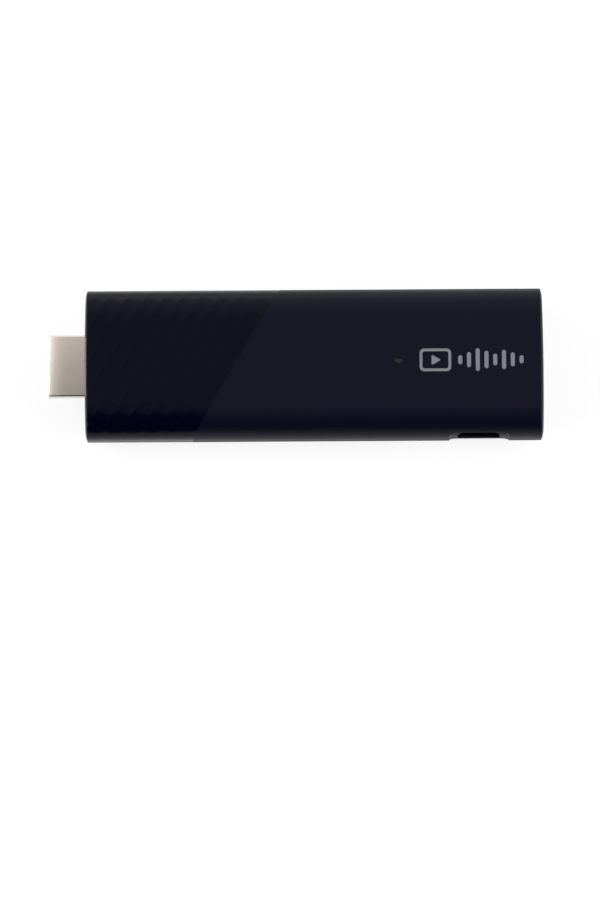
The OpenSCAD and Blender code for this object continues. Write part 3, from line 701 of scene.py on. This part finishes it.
def case_finish():
    """Fine matte plastic, smoother and glossier over the grip waves."""
    made = Finish("case_plastic", CASE_COLOUR, CASE_ROUGHNESS)
    made.shader.inputs["Specular IOR Level"].default_value = CASE_SPECULAR
    split = made.nodes.new("ShaderNodeSeparateXYZ")
    made.links.new(made.place.outputs["Vector"], split.inputs["Vector"])
    lean = made.nodes.new("ShaderNodeMath")
    lean.operation = "MULTIPLY_ADD"
    lean.inputs[1].default_value = -WAVE_SLOPE
    made.links.new(split.outputs["Y"], lean.inputs[0])
    made.links.new(split.outputs["X"], lean.inputs[2])
    zone = made.nodes.new("ShaderNodeMapRange")
    zone.inputs["From Min"].default_value = WAVE_END - ZONE_BLEND
    zone.inputs["From Max"].default_value = WAVE_END + ZONE_BLEND
    made.links.new(lean.outputs["Value"], zone.inputs["Value"])
    gloss = made.nodes.new("ShaderNodeMapRange")
    gloss.inputs["To Min"].default_value = WAVE_ROUGHNESS
    gloss.inputs["To Max"].default_value = CASE_ROUGHNESS
    made.links.new(zone.outputs["Result"], gloss.inputs["Value"])
    vary = made.nodes.new("ShaderNodeMath")
    vary.operation = "MULTIPLY_ADD"
    vary.inputs[1].default_value = 0.04
    made.links.new(made.noise(2.5), vary.inputs[0])
    made.links.new(gloss.outputs["Result"], vary.inputs[2])
    made.links.new(vary.outputs["Value"], made.shader.inputs["Roughness"])
    tone = made.mottle(6.0, 0.06)
    split_tone = made.nodes.new("ShaderNodeMix")
    split_tone.data_type = "RGBA"
    split_tone.inputs["A"].default_value = (*WAVE_COLOUR, 1)
    made.links.new(tone.outputs["Result"], split_tone.inputs["B"])
    made.links.new(zone.outputs["Result"], split_tone.inputs["Factor"])
    made.links.new(split_tone.outputs["Result"], made.shader.inputs["Base Color"])
    made.bump(0.12, 0.0035, detail=3.0)
    return made.material


def plain_plastic(name, colour, roughness=0.5, grain=0.15):
    """Moulded plastic or a like body, with a fine grain."""
    made = Finish(name, colour, roughness)
    made.mottle(2.0, 0.08)
    return made.worn(1.5, 0.06).bump(grain, 0.004).material


def sheet_metal(name, colour, roughness=0.3, stretch=(8, 1, 1), grain=0.12, height=0.002, spread=0.07):
    """Metal with a fine grain that stretch draws out along an axis."""
    made = Finish(name, colour, roughness, metallic=1.0)
    made.mottle(1.5, 0.05, stretch)
    return made.worn(0.6, spread, stretch).bump(grain, height, stretch).material


def board_finish(name, mask, copper):
    """Solder mask with copper tracks showing faintly through it."""
    made = Finish(name, mask, 0.32)
    mix = made.mottle(3.0, 0.15)
    tracks = made.nodes.new("ShaderNodeTexVoronoi")
    tracks.distance, tracks.feature = "CHEBYCHEV", "F1"
    tracks.inputs["Scale"].default_value = 0.7
    made.links.new(made.place.outputs["Vector"], tracks.inputs["Vector"])
    bands = made.nodes.new("ShaderNodeMath")
    bands.operation = "PINGPONG"
    bands.inputs[1].default_value = 0.12
    made.links.new(tracks.outputs["Distance"], bands.inputs[0])
    steps = made.nodes.new("ShaderNodeMapRange")
    steps.inputs["From Min"].default_value, steps.inputs["From Max"].default_value = 0.055, 0.065
    made.links.new(bands.outputs["Value"], steps.inputs["Value"])
    blend = made.nodes.new("ShaderNodeMix")
    blend.data_type = "RGBA"
    blend.inputs["B"].default_value = (*copper, 1)
    made.links.new(mix.outputs["Result"], blend.inputs["A"])
    made.links.new(steps.outputs["Result"], blend.inputs["Factor"])
    made.links.new(blend.outputs["Result"], made.shader.inputs["Base Color"])
    return made.bump(0.35, 0.006).material


def clear_plastic(name, colour):
    """Smoked plastic that lets some light through."""
    made = Finish(name, colour, 0.12)
    made.mottle(1.0, 0.03)
    made.shader.inputs["Transmission Weight"].default_value = 0.6
    made.shader.inputs["IOR"].default_value = 1.49
    return made.bump(0.4, 0.002).material


def finishes():
    """One material for each of the record's slots."""
    return {
        "light_plastic": clear_plastic("light_plastic", (0.05, 0.055, 0.065)),
        "plug_nickel": sheet_metal("plug_nickel", (0.62, 0.555, 0.495), 0.23, (2, 1, 1), 0.1, 0.0002, 0.015),
        # The socket's steel colour is partly its own tone and partly painted shade: it is darkened so that
        # the sleeve's rim stays dim inside the case's opening
        "socket_steel": sheet_metal("socket_steel", (0.33, 0.33, 0.34), 0.4, (1, 3, 1), 0.08, 0.0006),
        "connector_plastic": plain_plastic("connector_plastic", (0.012, 0.012, 0.014), 0.45),
        "contact_gold": sheet_metal("contact_gold", (0.86, 0.6, 0.22), 0.22, (6, 1, 1)),
        "board_laminate": board_finish("board_laminate", (0.006, 0.05, 0.022), (0.02, 0.13, 0.05)),
        "module_laminate": board_finish("module_laminate", (0.004, 0.018, 0.09), (0.02, 0.06, 0.2)),
        "chip_epoxy": plain_plastic("chip_epoxy", (0.014, 0.014, 0.016), 0.55, 0.08),
        "ferrite": plain_plastic("ferrite", (0.035, 0.034, 0.036), 0.6, 0.1),
        "tantalum_body": plain_plastic("tantalum_body", (0.5, 0.26, 0.03), 0.4),
        "capacitor_ceramic": plain_plastic("capacitor_ceramic", (0.3, 0.19, 0.1), 0.35, 0.08),
        "shield_tin": sheet_metal("shield_tin", (0.62, 0.62, 0.63), 0.36, (7, 1, 1)),
        "led_body": plain_plastic("led_body", (0.85, 0.84, 0.74), 0.3),
        "pad_silicone": plain_plastic("pad_silicone", (0.24, 0.3, 0.42), 0.75, 0.3),
        "sink_alloy": sheet_metal("sink_alloy", (0.6, 0.61, 0.62), 0.4, (14, 1, 1), 0.14, 0.004),
        "carrier_plastic": plain_plastic("carrier_plastic", (0.62, 0.58, 0.5), 0.5),
        "antenna_plate": sheet_metal("antenna_plate", (0.8, 0.55, 0.24), 0.3, (1, 6, 1)),
        "switch_plastic": plain_plastic("switch_plastic", (0.02, 0.02, 0.022), 0.5),
        "dome_steel": sheet_metal("dome_steel", (0.65, 0.6, 0.48), 0.25, (1, 1, 1)),
        "button_plastic": plain_plastic("button_plastic", (0.62, 0.62, 0.58), 0.45),
        "screw_steel": sheet_metal("screw_steel", (0.5, 0.5, 0.51), 0.3, (1, 1, 1)),
        "print_ink": plain_plastic("print_ink", MARK_COLOUR, 0.5, 0.1),
        "case_plastic": case_finish(),
    }


def wear(piece, material):
    """Gives a piece its material in every slot, without touching its mesh's points."""
    if not piece.material_slots:
        piece.data.materials.append(material)
    for slot in piece.material_slots:
        slot.material = material


# ---- camera, floor and light ----


def place_camera():
    """Looks down on the face from slightly in front, as far away as the real camera was."""
    data = bpy.data.cameras.new("camera")
    data.lens, data.sensor_width = CAMERA_LENS, CAMERA_SENSOR
    data.clip_start, data.clip_end = 0.01, 20
    made = bpy.data.objects.new("camera", data)
    scene.collection.objects.link(made)
    target = Vector(((FRONT_X + BACK_X) / 2, 0, JOINT_Z)) * MM
    tilt = math.radians(CAMERA_TILT)
    back = Vector((0, -math.sin(tilt), math.cos(tilt)))
    look = (-back).to_track_quat("-Z", "Y").to_matrix().to_4x4()
    roll = Matrix.Rotation(math.radians(CAMERA_ROLL), 4, "Z")
    aim_down = Matrix.Rotation(math.radians(-CAMERA_AIM_DOWN), 4, "X")
    aim_left = Matrix.Rotation(math.radians(CAMERA_AIM_LEFT), 4, "Y")
    place = Matrix.Translation(target + back * CAMERA_DISTANCE)
    made.matrix_world = place @ look @ roll @ aim_left @ aim_down
    scene.camera = made


def softbox(name, place, size, radiance):
    """An area light that faces the player, with its brightness given as seen from the player."""
    data = bpy.data.lights.new(name, "AREA")
    data.shape, data.size, data.size_y = "RECTANGLE", size[0], size[1]
    data.energy = radiance * math.pi * size[0] * size[1]
    made = bpy.data.objects.new(name, data)
    made.location = place
    made.rotation_mode = "QUATERNION"
    made.rotation_quaternion = (-Vector(place)).to_track_quat("-Z", "Y")
    scene.collection.objects.link(made)


def surroundings():
    """A pale studio: bright low at the back, dim overhead, dark in front and even towards both ends."""
    world = bpy.data.worlds.new("studio")
    scene.world = world
    world.use_nodes = True
    nodes, links = world.node_tree.nodes, world.node_tree.links
    where = nodes.new("ShaderNodeTexCoord")
    split = nodes.new("ShaderNodeSeparateXYZ")
    links.new(where.outputs["Generated"], split.inputs["Vector"])
    angle = nodes.new("ShaderNodeMath")
    angle.operation = "ARCTAN2"
    links.new(split.outputs["Y"], angle.inputs[0])
    links.new(split.outputs["Z"], angle.inputs[1])
    share = nodes.new("ShaderNodeMapRange")
    share.inputs["From Min"].default_value, share.inputs["From Max"].default_value = -math.pi / 2, math.pi / 2
    links.new(angle.outputs["Value"], share.inputs["Value"])
    ramp = nodes.new("ShaderNodeValToRGB")
    links.new(share.outputs["Result"], ramp.inputs["Fac"])
    stops = ramp.color_ramp.elements
    for stop, (degrees, level) in zip(stops, (SKY_LEVELS[0], SKY_LEVELS[-1])):
        stop.position, stop.color = (degrees + 90) / 180, (level, level, level, 1)
    for degrees, level in SKY_LEVELS[1:-1]:
        stops.new((degrees + 90) / 180).color = (level, level, level, 1)
    along = nodes.new("ShaderNodeMath")
    along.operation = "ABSOLUTE"
    links.new(split.outputs["X"], along.inputs[0])
    ends = nodes.new("ShaderNodeMapRange")
    ends.interpolation_type = "SMOOTHSTEP"
    ends.inputs["From Min"].default_value, ends.inputs["From Max"].default_value = SKY_ENDS
    links.new(along.outputs["Value"], ends.inputs["Value"])
    sky = nodes.new("ShaderNodeMix")
    sky.data_type = "RGBA"
    sky.inputs["B"].default_value = (SKY_END_LEVEL, SKY_END_LEVEL, SKY_END_LEVEL, 1)
    links.new(ends.outputs["Result"], sky.inputs["Factor"])
    links.new(ramp.outputs["Color"], sky.inputs["A"])
    links.new(sky.outputs["Result"], nodes["Background"].inputs["Color"])
    nodes["Background"].inputs["Strength"].default_value = SKY_STRENGTH


def floor():
    """A pale light table: it glows softly from below, which keeps the shadow around the player faint."""
    size, z = FLOOR_SIZE, -FLOOR_GAP
    corners = [(-size, -size, z), (size, -size, z), (size, size, z), (-size, size, z)]
    made = mesh_object("floor", corners, [(0, 1, 2, 3)])
    finish = Finish("floor_panel", FLOOR_COLOUR, 0.8)
    finish.mottle(40.0, 0.004)
    finish.shader.inputs["Emission Color"].default_value = (1, 1, 1, 1)
    finish.shader.inputs["Emission Strength"].default_value = FLOOR_GLOW
    wear(made, finish.material)


# ---- putting it together ----

scene.view_settings.view_transform = "Standard"
place_camera()
surroundings()
floor()
for side in (-1, 1):
    for name, ((x, y, z), size, radiance) in (("side_light", SIDE_LIGHT), ("front_light", FRONT_LIGHT)):
        softbox(name, (side * x, y, z), size, radiance)

upper = case_half("upper_case", "upper_shell", 1, UPPER_SET_IN)
lower = case_half("lower_case", "lower_shell", -1, 0.0)
sleeve = stand_in(plug_sleeve(), "hdmi_shell", "plug_nickel")
socket = stand_in(socket_sleeve(), "usb_c_shell", "socket_steel")
mark = printed_mark()

looks = finishes()
for entry in frame["record"]["subparts"]:
    wear(frame["nodes"][entry["node"]], looks[entry["material_slot"]])
for piece in (upper, lower, sleeve, socket, mark):
    wear(piece, looks[piece["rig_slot"]])
